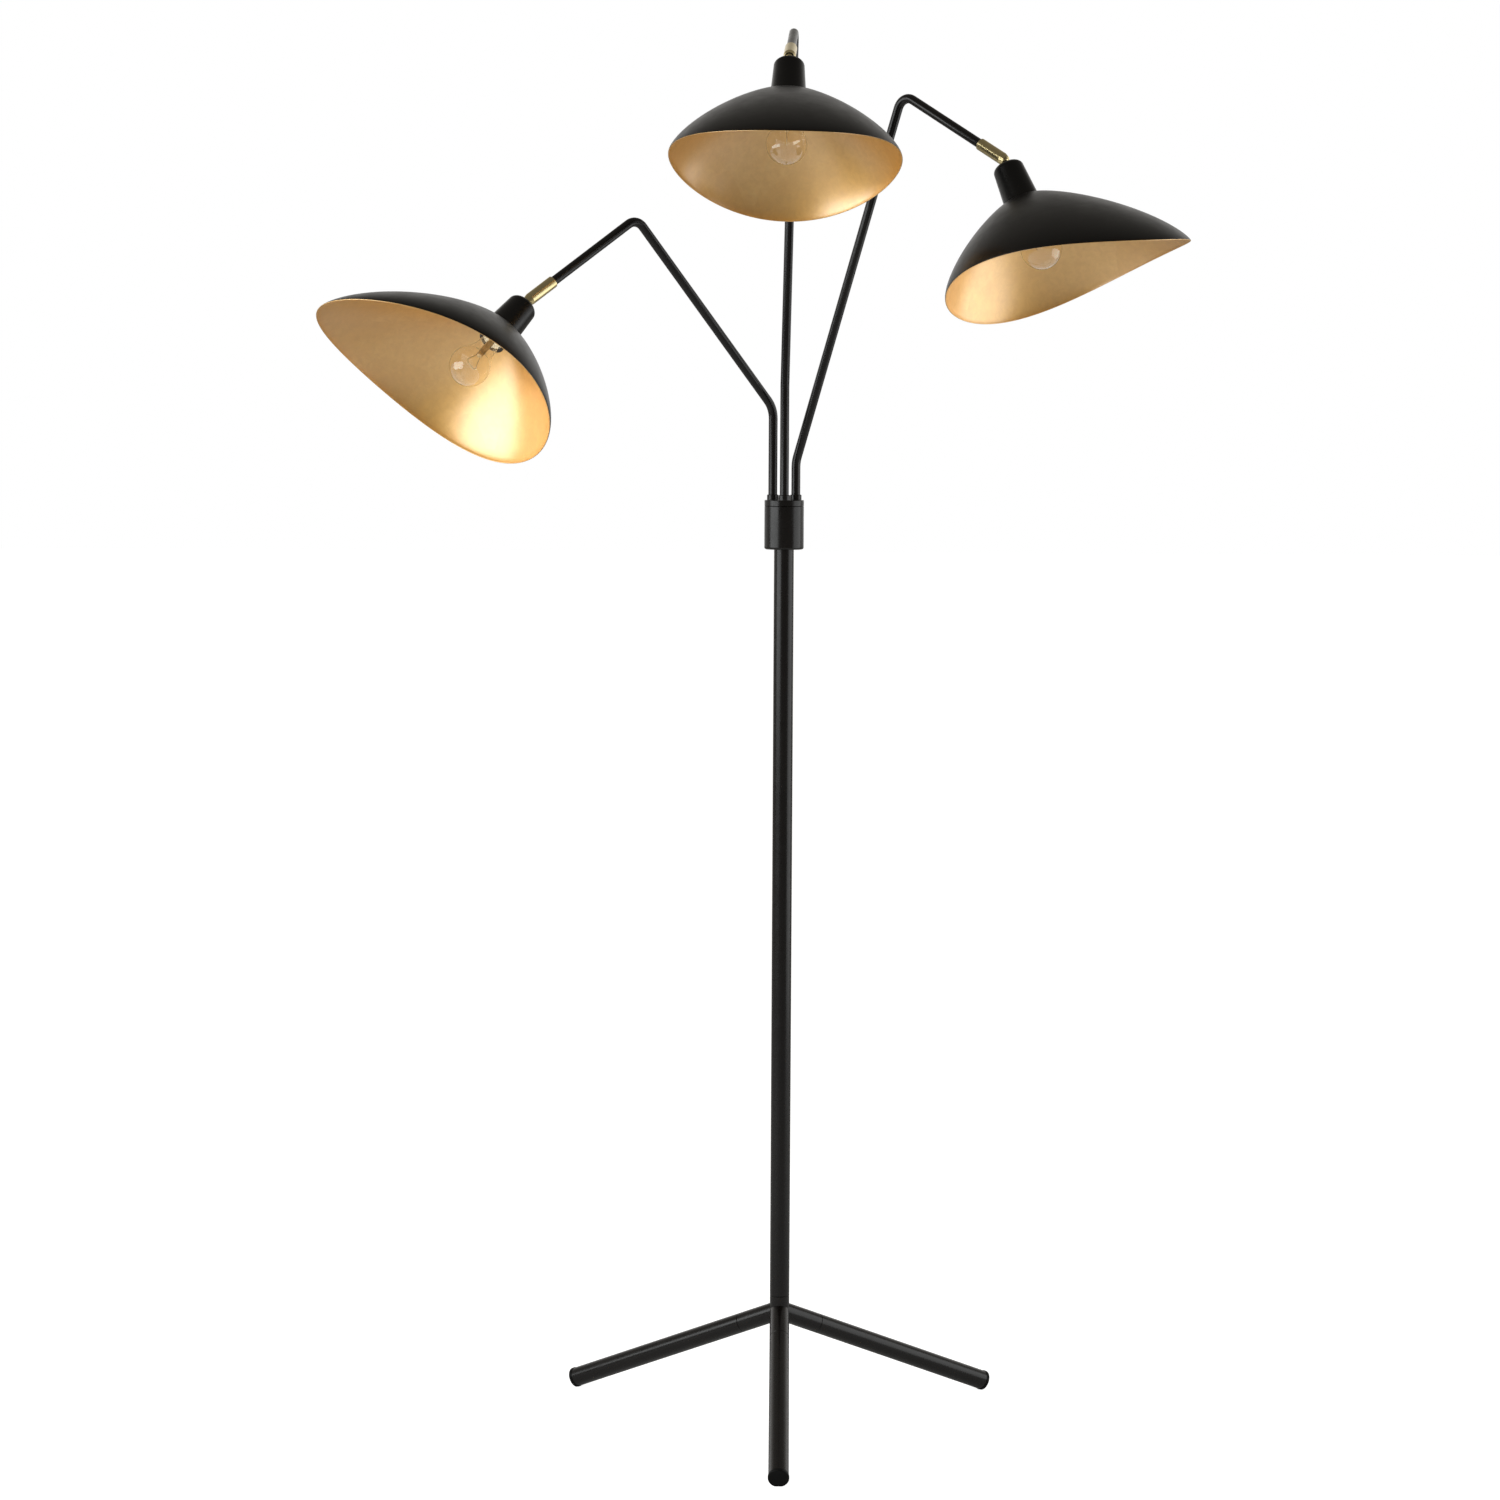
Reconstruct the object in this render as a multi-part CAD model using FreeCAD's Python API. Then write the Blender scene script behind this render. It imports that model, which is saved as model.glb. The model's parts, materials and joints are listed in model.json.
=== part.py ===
import FreeCAD, Part
import math
import os

# Three-arm floor lamp: a tripod of round tube, a plain pole, a collar that carries
# three bent swivelling arms, and on each arm a tilting head with a pressed shade.
# Millimetres and degrees. +Z is up, the origin is on the floor under the pole's axis,
# -Y is the front, and azimuths are measured from +X towards +Y.

V = FreeCAD.Vector

PAST = 1.0                # how far a cut runs past the face it opens
EDGE = 1.0                # rounding of the small turned pieces
SEAM_EDGE = 0.5           # bevel on both sides of each seam that shows
UPRIGHT = 90.0            # elevation of a vertical line

# ---------------------------------------------------------------- stand sizes
TUBE_OD = 25.4            # pole and legs are the same round tube
TUBE_WALL = 1.6
LEG_REACH = 314.5         # pole axis to the centre of a leg's cut end
LEG_SLOPE = 22.7          # legs fall away from the hub at this angle
LEG_AZIMUTHS = {"front": -90.0, "left": 150.0, "right": 30.0}
STUB_LENGTH = 61.0        # hub stub, from the pole axis to the ring seam on a leg
HUB_ABOVE = 20.0          # hub tube above the point where the leg axes meet
HUB_BELOW = 21.0          # hub tube below that point
END_DISC = 8.0            # thickness of the discs welded in the tube ends
STUD_R = 5.0              # threaded studs that join leg to hub
STUD_LENGTH = 30.0
THREAD_GAP = 0.05         # gap between a thread and its hole
PLUG_HEAD_R = 13.3        # rounded end plug that each leg stands on
PLUG_HEAD_LENGTH = 4.5
PLUG_EDGE = 1.6           # rounding of the plug's edge
PLUG_STEM_LENGTH = 14.0
PLUG_GAP = 0.1            # plug stem to tube bore
PLUG_FLAT = 0.6           # depth of the flat that rests on the floor

# ---------------------------------------------------------------- collar sizes
COLLAR_TOP = 1198.4       # top face of the collar cap above the floor
COLLAR_OD = 50.5
COLLAR_HEIGHT = 63.0
COLLAR_WALL = 1.2
COLLAR_FLOOR = 5.0
COLLAR_EDGE = 3.0         # rounding of the collar's lower edge
CAP_HEIGHT = 7.7          # visible height of the cap above its seam
CAP_REGISTER = 8.0        # step of the cap that sits inside the collar
CAP_EDGE = 0.8
CAP_GAP = 0.15
NIPPLE_R = 6.0            # hollow threaded nipples at both ends of the pole
NIPPLE_BORE_R = 4.0
NIPPLE_IN_POLE = 16.0
NIPPLE_PAST_NUT = 1.5
NUT_R = 10.0
NUT_HEIGHT = 6.0
BLOCK_R = 21.5            # round terminal block that the arm leads end on
BLOCK_HEIGHT = 12.0
BLOCK_POST_R = 8.5        # its post, screwed down the nipple onto the nut
BLOCK_CLEAR = 2.0         # space between the block and the ends of the arms
CABLE_R = 3.3             # mains cable inside the pole
CABLE_GAP = 0.3
SCREW_HEAD_R = 3.6        # grub screw that fixes the cap, at the front
SCREW_HEAD_HEIGHT = 2.2
SCREW_R = 2.0
SCREW_SLOT = 0.8
SCREW_DROP = 4.4          # its centre below the seam
SCREW_BITE = 1.6          # depth of its tip inside the collar wall's inner face
BUSHING_HEAD_R = 9.0      # cord outlet bushing under the hub
BUSHING_HEAD_HEIGHT = 2.5
BUSHING_BORE_R = 3.6
BUSHING_HEIGHT = 10.0

# ---------------------------------------------------------------- arm sizes
ARM_R = 5.75              # arm tube, outside
ARM_BORE_R = 4.4
ARM_BORE_STEP = 4.0       # wide bore starts this far inside an arm's shoulders
SPIGOT_R = 4.75           # turned-down ends of an arm
SPIGOT_BORE_R = 3.3
LEAD_R = 2.8              # wire lead inside an arm
LEAD_SHORT = 1.0          # lead ends this far inside the arm's upper end
LOWER_BEND_R = 34.0       # centreline radius of the bend above the collar
PEAK_BEND_R = 17.0        # centreline radius of the bend at an arm's peak
FLANGE_R = 7.4
FLANGE_HEIGHT = 6.0
WASHER_HEIGHT = 0.8
LOCK_RING_R = 6.7
LOCK_RING_HEIGHT = 4.0
LOCK_RING_CLEAR = 0.35    # lock ring to the collar's inner wall
FOOT_BELOW_RING = 1.5     # arm spigot below the lock ring
RUN_GAP = 0.05            # running clearance of a shaft in its hole, on the radius
FACE_GAP = 0.2            # clearance between faces that turn past each other

# ---------------------------------------------------------------- sleeve and ball
SLEEVE_R = 7.5
SLEEVE_LENGTH = 44.0      # from the arm's shoulder to the ball centre
SLEEVE_SPIGOT = 22.0      # arm spigot inside the sleeve
SLEEVE_CHAMFER = 0.5
SLEEVE_TIP_R = 5.8
SLEEVE_TIP_TAPER = 6.0
SLEEVE_NOSE = 2.2         # sleeve beyond the ball centre
SLEEVE_WIRE_R = 3.0
BALL_R = 4.5
NECK_R = 2.2
NECK_SLOT_GAP = 0.4       # slot side to neck
STUD_TILT_MAX = 57.0      # stud to sleeve axis, where the neck meets the slot's end
STUD_BORE_R = 1.1
FOOT_DISC_R = 6.5         # riveted foot of the ball stud inside the cup
FOOT_DISC_HEIGHT = 2.5

# ---------------------------------------------------------------- cup sizes
CUP_DROP = 6.5            # ball centre to the top of the cup
CUP_TOP_R = 9.0           # nearly flat middle of the domed top
CUP_DOME = 8.5            # height of the dome
CUP_CROWN = 0.6           # fall of the top from its middle to the dome's arc
CUP_DOME_OUT = 0.86       # a point of the dome's arc: out, as a share of the shoulder
CUP_DOME_UP = 0.62        # and up, as a share of the dome
CUP_SHOULDER_R = 18.8
CUP_BASE_R = 22.0
CUP_WALL = 1.8
CUP_TOP_WALL = 2.5
SEAT_DROP = 60.0          # ball centre to the seat of the shade
CUP_SCREW_R = 1.2         # two grub screws hold the cup to the socket's flange
CUP_SCREW_LENGTH = 4.0
CUP_SCREW_RISE = 3.0      # their height above the seat
CUP_SCREW_SINK = 0.5      # their faces inside the radius of the cup's base

# ---------------------------------------------------------------- shade sizes
SHADE_LENGTH = 313.0      # back to nose, across the rim
SHADE_WIDTH = 278.0
SHADE_DEPTH = 96.0        # seat to rim, at the middle of the long sides, without tilt
SHADE_OFFSET = 25.0       # middle of the rim ahead of the cup's axis
SHADE_RIM_TILT = 14.0     # rim leans down towards the nose
SHADE_RIM_BOW = 27.0      # nose and back hang below the long sides
SHADE_RISE_POWER = 1.2
SHADE_WALL_POWER = 1.3
SHADE_SEAT_R = 22.5       # flat seat round the socket hole
SHADE_HOLE_R = 17.3
SHADE_SHEET = 1.2
SHADE_LEVELS = (0.0, 0.03, 0.1, 0.2, 0.34, 0.5, 0.66, 0.8, 0.91, 1.0)
SHADE_RING_POINTS = 28

# ---------------------------------------------------------------- socket and bulb
SOCKET_R = 17.0
SOCKET_FLANGE_R = 19.6
SOCKET_FLANGE_HEIGHT = 6.0
SOCKET_TOP_DROP = 28.0    # ball centre to the socket's top
SOCKET_BOTTOM_DROP = 79.0
SOCKET_BORE_R = 13.7
SOCKET_ROOF = 20.8        # thickness above the bore
RING_R = 21.5             # threaded ring that clamps the shade
RING_HEIGHT = 6.0
BASE_R = 13.2             # screw base of the bulb
BASE_LENGTH = 27.0
BASE_EDGE = 3.0
BASE_INSIDE = 1.0         # open end of the base above the socket's mouth
CONTACT_R = 5.0
CONTACT_HEIGHT = 2.0
BULB_NECK_R = 12.6
BULB_NECK_LENGTH = 12.0   # straight part of the neck
BULB_NECK_HOLLOW = 1.2    # depth of the hollow curve between neck and globe
BULB_SHOULDER = 52.0      # from the axis, where that curve meets the globe
BULB_R = 25.0
BULB_CENTRE_DROP = 126.0
BULB_GLASS = 0.9
STEM_R = 4.0
STEM_LENGTH = 26.0
SUPPORT_R = 0.5
SUPPORT_LENGTH = 20.0
FILAMENT_ROOT = 1.5       # supports leave the stem this far from the axis
FILAMENT_SPREAD = 9.0     # and end this far from it
FILAMENT_BEND_R = 3.0
SHADE_STEP = 0.002        # step for the direction of the shade's surface
SEW_GAP = 0.01
NEARLY = 0.01             # used to pick an edge by its height

# Each arm: where its foot stands in the cap, its straight rise above the collar, the
# long lean, and the drop from its peak to the ball. Each head: which way the top of
# the cup leans and how far, and where the nose of the shade points.
LAMPS = {
    "left": {
        "foot": 150.0, "rise": 117.0, "lean": 42.5, "lean_length": 317.0,
        "lean_azimuth": -142.7, "drop": 33.2, "drop_length": 192.5,
        "drop_azimuth": -142.7, "cup_tilt": 50.5, "cup_azimuth": 48.0, "nose": -141.8,
    },
    "middle": {
        "foot": -90.0, "rise": 146.0, "lean": 8.2, "lean_length": 444.5,
        "lean_azimuth": -81.6, "drop": 18.2, "drop_length": 146.5,
        "drop_azimuth": -92.5, "cup_tilt": 29.8, "cup_azimuth": 87.3, "nose": -91.2,
    },
    "right": {
        "foot": 30.0, "rise": 49.0, "lean": 21.4, "lean_length": 490.0,
        "lean_azimuth": -44.0, "drop": 27.9, "drop_length": 189.2,
        "drop_azimuth": -44.0, "cup_tilt": 30.7, "cup_azimuth": 131.1, "nose": -55.6,
    },
}

# ---------------------------------------------------------------- worked-out places
TUBE_R = TUBE_OD / 2.0
BORE_R = TUBE_R - TUBE_WALL
SLOPE = math.radians(LEG_SLOPE)
LEG_LENGTH = LEG_REACH / math.cos(SLOPE)
PLUG_MIDDLE = LEG_LENGTH + PLUG_HEAD_LENGTH / 2.0
HUB_Z = PLUG_MIDDLE * math.sin(SLOPE) + PLUG_HEAD_R * math.cos(SLOPE) - PLUG_FLAT
HUB_TOP = HUB_Z + HUB_ABOVE
HUB_BOTTOM = HUB_Z - HUB_BELOW
COLLAR_R = COLLAR_OD / 2.0
COLLAR_BOTTOM = COLLAR_TOP - COLLAR_HEIGHT
CAP_SEAM = COLLAR_TOP - CAP_HEIGHT
CAP_UNDER = CAP_SEAM - CAP_REGISTER
FOOT_END = CAP_UNDER - LOCK_RING_HEIGHT - FOOT_BELOW_RING
WASHER_TOP = COLLAR_TOP + WASHER_HEIGHT
FLANGE_TOP = WASHER_TOP + FLANGE_HEIGHT
BLOCK_TOP = FOOT_END - BLOCK_CLEAR
BLOCK_BOTTOM = BLOCK_TOP - BLOCK_HEIGHT
COLLAR_INNER_R = COLLAR_R - COLLAR_WALL
ARM_PITCH_R = COLLAR_INNER_R - LOCK_RING_R - LOCK_RING_CLEAR
NUT_BOTTOM = COLLAR_BOTTOM + COLLAR_FLOOR
NUT_TOP = NUT_BOTTOM + NUT_HEIGHT
NIPPLE_TOP = NUT_TOP + NIPPLE_PAST_NUT
BUSHING_BOTTOM = HUB_BOTTOM - BUSHING_HEAD_HEIGHT
BUSHING_TOP = BUSHING_BOTTOM + BUSHING_HEIGHT
SHOULDER_BACK = SLEEVE_LENGTH + FACE_GAP         # ball centre back to the arm's shoulder
TIP_BACK = SLEEVE_LENGTH - SLEEVE_SPIGOT         # ball centre back to the arm's end
BASE_OPEN_DROP = SOCKET_BOTTOM_DROP - BASE_INSIDE
UP = V(0, 0, 1)


# ---------------------------------------------------------------- small helpers
def direction(azimuth, elevation):
    a = math.radians(azimuth)
    e = math.radians(elevation)
    return V(math.cos(a) * math.cos(e), math.sin(a) * math.cos(e), math.sin(e))


def cylinder(radius, start, end):
    return Part.makeCylinder(radius, (end - start).Length, start, end - start)


def disc(radius, low, high, centre=V(0, 0, 0)):
    return Part.makeCylinder(radius, high - low, centre + V(0, 0, low), UP)


def ring(outer, inner, low, high, centre=V(0, 0, 0)):
    return disc(outer, low, high, centre).cut(disc(inner, low - PAST, high + PAST, centre))


def turned(edges):
    """Solid of revolution about Z of a closed outline in the XZ plane."""
    return Part.Face(Part.Wire(edges)).revolve(V(0, 0, 0), UP, 360)


def outline(points):
    """Straight edges through (radius, height) pairs, closed."""
    corners = [V(r, 0, z) for r, z in points]
    corners.append(corners[0])
    return [Part.LineSegment(a, b).toShape() for a, b in zip(corners, corners[1:])]


def rounded(shape, radius, test):
    """Round the edges of a shape whose middle passes the test."""
    chosen = [e for e in shape.Edges if test(e.CenterOfMass)]
    return shape.makeFillet(radius, chosen)


def bevelled(shape, centre):
    """Bevel the round edge that has this centre."""
    chosen = [e for e in shape.Edges if (e.CenterOfMass - centre).Length < NEARLY]
    return shape.makeChamfer(SEAM_EDGE, chosen)


def placed(shape, origin, x_axis, z_axis):
    """Move a shape from its own frame to one given by an origin and two axes."""
    turn = FreeCAD.Rotation(x_axis, z_axis.cross(x_axis), z_axis, "ZXY")
    moved = shape.copy()
    moved.Placement = FreeCAD.Placement(origin, turn)
    return moved


def rod_path(points, radii):
    """Wire of straight runs joined by tangent arcs at the inner points."""
    edges = []
    start = points[0]
    for before, corner, after, radius in zip(points, points[1:], points[2:], radii):
        incoming = (corner - before).normalize()
        outgoing = (after - corner).normalize()
        half = incoming.getAngle(outgoing) / 2.0
        back = radius * math.tan(half)
        arc_start = corner - incoming * back
        arc_end = corner + outgoing * back
        inward = (outgoing - incoming).normalize()
        middle = corner + inward * (radius / math.cos(half) - radius)
        edges.append(Part.LineSegment(start, arc_start).toShape())
        edges.append(Part.Arc(arc_start, middle, arc_end).toShape())
        start = arc_end
    edges.append(Part.LineSegment(start, points[-1]).toShape())
    return Part.Wire(edges)


def swept(path, radius):
    """Round bar along a path."""
    first = path.OrderedEdges[0]
    start = first.valueAt(first.FirstParameter)
    along = first.tangentAt(first.FirstParameter)
    profile = Part.Wire(Part.makeCircle(radius, start, along))
    return path.makePipeShell([profile], True, False)


# ---------------------------------------------------------------- stand
def leg_point(azimuth, along):
    return V(0, 0, HUB_Z) + direction(azimuth, -LEG_SLOPE) * along


def make_hub():
    body = bevelled(disc(TUBE_R, HUB_BOTTOM, HUB_TOP), V(0, 0, HUB_TOP))
    for azimuth in LEG_AZIMUTHS.values():
        seam = leg_point(azimuth, STUB_LENGTH)
        body = body.fuse(bevelled(cylinder(TUBE_R, leg_point(azimuth, 0), seam), seam))
    body = body.cut(disc(BORE_R, HUB_BOTTOM - PAST, HUB_TOP - END_DISC))
    body = body.cut(disc(NIPPLE_R + THREAD_GAP, HUB_TOP - END_DISC - PAST, HUB_TOP + PAST))
    for azimuth in LEG_AZIMUTHS.values():
        inner_end = leg_point(azimuth, STUB_LENGTH - END_DISC)
        body = body.cut(cylinder(BORE_R, leg_point(azimuth, 0), inner_end))
        outer_end = leg_point(azimuth, STUB_LENGTH + PAST)
        body = body.cut(cylinder(STUD_R + THREAD_GAP, inner_end, outer_end))
    return body.removeSplitter()


def make_leg(azimuth):
    start = leg_point(azimuth, STUB_LENGTH)
    end = leg_point(azimuth, LEG_LENGTH)
    disc_end = leg_point(azimuth, STUB_LENGTH + END_DISC)
    leg = bevelled(cylinder(TUBE_R, start, end), start)
    leg = leg.cut(cylinder(BORE_R, disc_end, leg_point(azimuth, LEG_LENGTH + PAST)))
    return leg.cut(cylinder(STUD_R + THREAD_GAP, leg_point(azimuth, STUB_LENGTH - PAST), disc_end))


def make_leg_studs():
    studs = []
    for azimuth in LEG_AZIMUTHS.values():
        inner_end = leg_point(azimuth, STUB_LENGTH - STUD_LENGTH / 2)
        outer_end = leg_point(azimuth, STUB_LENGTH + STUD_LENGTH / 2)
        studs.append(cylinder(STUD_R, inner_end, outer_end))
    return Part.makeCompound(studs)


def make_foot_plug(azimuth):
    head = disc(PLUG_HEAD_R, 0, PLUG_HEAD_LENGTH)
    head = rounded(head, PLUG_EDGE, lambda c: c.z > PLUG_HEAD_LENGTH - NEARLY)
    plug = head.fuse(disc(BORE_R - PLUG_GAP, -PLUG_STEM_LENGTH, 0))
    along = direction(azimuth, -LEG_SLOPE)
    side = UP.cross(along).normalize()
    plug = placed(plug, leg_point(azimuth, LEG_LENGTH), side, along)
    return plug.cut(disc(2 * LEG_REACH, -PLUG_HEAD_R, 0))


def make_pole():
    pole = bevelled(disc(TUBE_R, HUB_TOP, COLLAR_BOTTOM), V(0, 0, HUB_TOP))
    pole = pole.cut(disc(BORE_R, HUB_TOP + END_DISC, COLLAR_BOTTOM - END_DISC))
    return pole.cut(disc(NIPPLE_R + THREAD_GAP, HUB_TOP - PAST, COLLAR_BOTTOM + PAST))


def make_cord_bushing():
    body = disc(BUSHING_HEAD_R, BUSHING_BOTTOM, HUB_BOTTOM)
    body = rounded(body, EDGE, lambda c: c.z < BUSHING_BOTTOM + NEARLY)
    body = body.fuse(disc(BORE_R - PLUG_GAP, HUB_BOTTOM, BUSHING_TOP))
    return body.cut(disc(BUSHING_BORE_R, BUSHING_BOTTOM - PAST, BUSHING_TOP + PAST))


def make_pole_cable():
    return disc(CABLE_R, BUSHING_TOP, BLOCK_BOTTOM)


# ---------------------------------------------------------------- collar
def make_collar_body():
    body = disc(COLLAR_R, COLLAR_BOTTOM, CAP_SEAM)
    body = rounded(body, COLLAR_EDGE, lambda c: c.z < COLLAR_BOTTOM + NEARLY)
    body = bevelled(body, V(0, 0, CAP_SEAM))
    body = body.cut(disc(COLLAR_INNER_R, NUT_BOTTOM, CAP_SEAM + PAST))
    body = body.cut(disc(NIPPLE_R + THREAD_GAP, COLLAR_BOTTOM - PAST, NUT_BOTTOM + PAST))
    return body.cut(screw_bar(SCREW_R + THREAD_GAP, 0))


def make_collar_cap():
    cap = disc(COLLAR_R, CAP_SEAM, COLLAR_TOP)
    cap = rounded(cap, CAP_EDGE, lambda c: c.z > COLLAR_TOP - NEARLY)
    cap = bevelled(cap, V(0, 0, CAP_SEAM))
    cap = cap.fuse(disc(COLLAR_INNER_R - CAP_GAP, CAP_UNDER, CAP_SEAM))
    for lamp in LAMPS.values():
        foot = arm_foot(lamp)
        cap = cap.cut(disc(SPIGOT_R + RUN_GAP, CAP_UNDER - PAST, COLLAR_TOP + PAST, foot))
    return cap.cut(screw_bar(SCREW_R + THREAD_GAP, THREAD_GAP))


def screw_bar(radius, extra):
    """Bar along the cap screw's axis, from its head's face to its tip."""
    height = CAP_SEAM - SCREW_DROP
    start = V(0, -COLLAR_R - SCREW_HEAD_HEIGHT, height)
    return cylinder(radius, start, V(0, SCREW_BITE + extra - COLLAR_INNER_R, height))


def make_collar_screw():
    screw_z = CAP_SEAM - SCREW_DROP
    face = -COLLAR_R - SCREW_HEAD_HEIGHT
    head = cylinder(SCREW_HEAD_R, V(0, face, screw_z), V(0, PAST - COLLAR_R, screw_z))
    head = head.cut(disc(COLLAR_R, COLLAR_BOTTOM, COLLAR_TOP))
    corner = V(-SCREW_HEAD_R, face, screw_z - SCREW_SLOT / 2)
    slot = Part.makeBox(2 * SCREW_HEAD_R, SCREW_SLOT, SCREW_SLOT, corner)
    return head.fuse(screw_bar(SCREW_R, 0)).cut(slot)


def make_nipple(low, high):
    return ring(NIPPLE_R, NIPPLE_BORE_R, low, high)


def make_collar_nut():
    corners = [direction(60 * i, 0) * NUT_R + V(0, 0, NUT_BOTTOM) for i in range(7)]
    nut = Part.Face(Part.makePolygon(corners)).extrude(V(0, 0, NUT_HEIGHT))
    return nut.cut(disc(NIPPLE_R + THREAD_GAP, NUT_BOTTOM - PAST, NUT_TOP + PAST))


def make_terminal_block():
    block = disc(BLOCK_R, BLOCK_BOTTOM, BLOCK_TOP)
    block = rounded(block, EDGE, lambda c: c.z < BLOCK_BOTTOM + NEARLY)
    post = disc(BLOCK_POST_R, NUT_TOP, BLOCK_BOTTOM)
    post = post.cut(disc(NIPPLE_R + THREAD_GAP, NUT_TOP - PAST, NIPPLE_TOP))
    post = post.cut(disc(CABLE_R + CABLE_GAP, NUT_TOP, BLOCK_BOTTOM + PAST))
    return block.fuse(post)


# ---------------------------------------------------------------- arms
def arm_foot(lamp):
    return direction(lamp["foot"], 0) * ARM_PITCH_R


def arm_corners(lamp):
    """Lower bend, peak and ball centre of an arm."""
    bend = arm_foot(lamp) + V(0, 0, COLLAR_TOP + lamp["rise"])
    peak = bend + direction(lamp["lean_azimuth"], UPRIGHT - lamp["lean"]) * lamp["lean_length"]
    ball = peak + direction(lamp["drop_azimuth"], -lamp["drop"]) * lamp["drop_length"]
    return bend, peak, ball


def drop_direction(lamp):
    return direction(lamp["drop_azimuth"], -lamp["drop"])


def arm_line(lamp, low, short_of_ball):
    """Centreline of an arm from a height under the cap to a distance before the ball."""
    bend, peak, ball = arm_corners(lamp)
    start = arm_foot(lamp) + V(0, 0, low)
    end = ball - drop_direction(lamp) * short_of_ball
    return rod_path([start, bend, peak, end], [LOWER_BEND_R, PEAK_BEND_R])


def make_arm_tube(lamp):
    foot = arm_foot(lamp)
    _, _, ball = arm_corners(lamp)
    along = drop_direction(lamp)
    shoulder = ball - along * SHOULDER_BACK
    tip = ball - along * TIP_BACK
    tube = swept(arm_line(lamp, WASHER_TOP, SHOULDER_BACK), ARM_R)
    tube = tube.fuse(disc(SPIGOT_R, FOOT_END, WASHER_TOP, foot))
    tube = tube.fuse(cylinder(SPIGOT_R, shoulder, tip))
    line = arm_line(lamp, WASHER_TOP + ARM_BORE_STEP, SHOULDER_BACK + ARM_BORE_STEP)
    bore = swept(line, ARM_BORE_R)
    step = ARM_BORE_STEP + PAST
    bore = bore.fuse(disc(SPIGOT_BORE_R, FOOT_END - PAST, WASHER_TOP + step, foot))
    bore = bore.fuse(cylinder(SPIGOT_BORE_R, shoulder - along * step, tip + along * PAST))
    return tube.cut(bore)


def make_arm_flange(lamp):
    foot = arm_foot(lamp)
    flange = disc(FLANGE_R, WASHER_TOP, FLANGE_TOP, foot)
    flange = rounded(flange, EDGE, lambda c: c.z > FLANGE_TOP - NEARLY)
    return flange.cut(disc(ARM_R + THREAD_GAP, WASHER_TOP - PAST, FLANGE_TOP + PAST, foot))


def make_arm_washers():
    inner = SPIGOT_R + RUN_GAP
    feet = [arm_foot(lamp) for lamp in LAMPS.values()]
    return Part.makeCompound([ring(FLANGE_R, inner, COLLAR_TOP, WASHER_TOP, foot) for foot in feet])


def make_lock_ring(lamp):
    low = CAP_UNDER - LOCK_RING_HEIGHT
    return ring(LOCK_RING_R, SPIGOT_R + THREAD_GAP, low, CAP_UNDER, arm_foot(lamp))


def make_arm_lead(lamp):
    return swept(arm_line(lamp, BLOCK_TOP, TIP_BACK + LEAD_SHORT), LEAD_R)


# ---------------------------------------------------------------- sleeve and ball stud
def cup_up(lamp):
    return direction(lamp["cup_azimuth"], UPRIGHT - lamp["cup_tilt"])


def tilt_side(lamp):
    """Across the sleeve, towards the side that the stud leans to."""
    along = drop_direction(lamp)
    down = cup_up(lamp) * -1
    return (down - along * down.dot(along)).normalize()


def make_sleeve(lamp):
    back = -SLEEVE_LENGTH
    taper = SLEEVE_NOSE - SLEEVE_TIP_TAPER
    body = turned(outline([
        (0, back), (SLEEVE_R - SLEEVE_CHAMFER, back), (SLEEVE_R, back + SLEEVE_CHAMFER),
        (SLEEVE_R, taper), (SLEEVE_TIP_R, SLEEVE_NOSE), (0, SLEEVE_NOSE),
    ]))
    body = body.cut(disc(SPIGOT_R + RUN_GAP, back - PAST, FACE_GAP - TIP_BACK))
    body = body.cut(disc(SLEEVE_WIRE_R, back, 0))
    body = body.cut(Part.makeSphere(BALL_R + RUN_GAP))
    half = NECK_R + NECK_SLOT_GAP
    reach = math.radians(STUD_TILT_MAX)
    slot_end = BALL_R / math.tan(reach) - NECK_R / math.sin(reach) - NECK_SLOT_GAP
    slot = Part.makeBox(2 * SLEEVE_R, 2 * half, 2 * SLEEVE_R, V(0, -half, slot_end))
    body = body.cut(slot)
    _, _, ball = arm_corners(lamp)
    return placed(body, ball, tilt_side(lamp), drop_direction(lamp))


def make_ball_stud():
    """In the head's frame: ball at the origin, the head hangs along -Z."""
    under = -(CUP_DROP + CUP_TOP_WALL + CUP_CROWN)
    stud = Part.makeSphere(BALL_R)
    stud = stud.fuse(disc(NECK_R, under - FACE_GAP, 0))
    stud = stud.fuse(disc(FOOT_DISC_R, under - FACE_GAP - FOOT_DISC_HEIGHT, under - FACE_GAP))
    return stud.cut(disc(STUD_BORE_R, -SOCKET_TOP_DROP, BALL_R + PAST))


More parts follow.
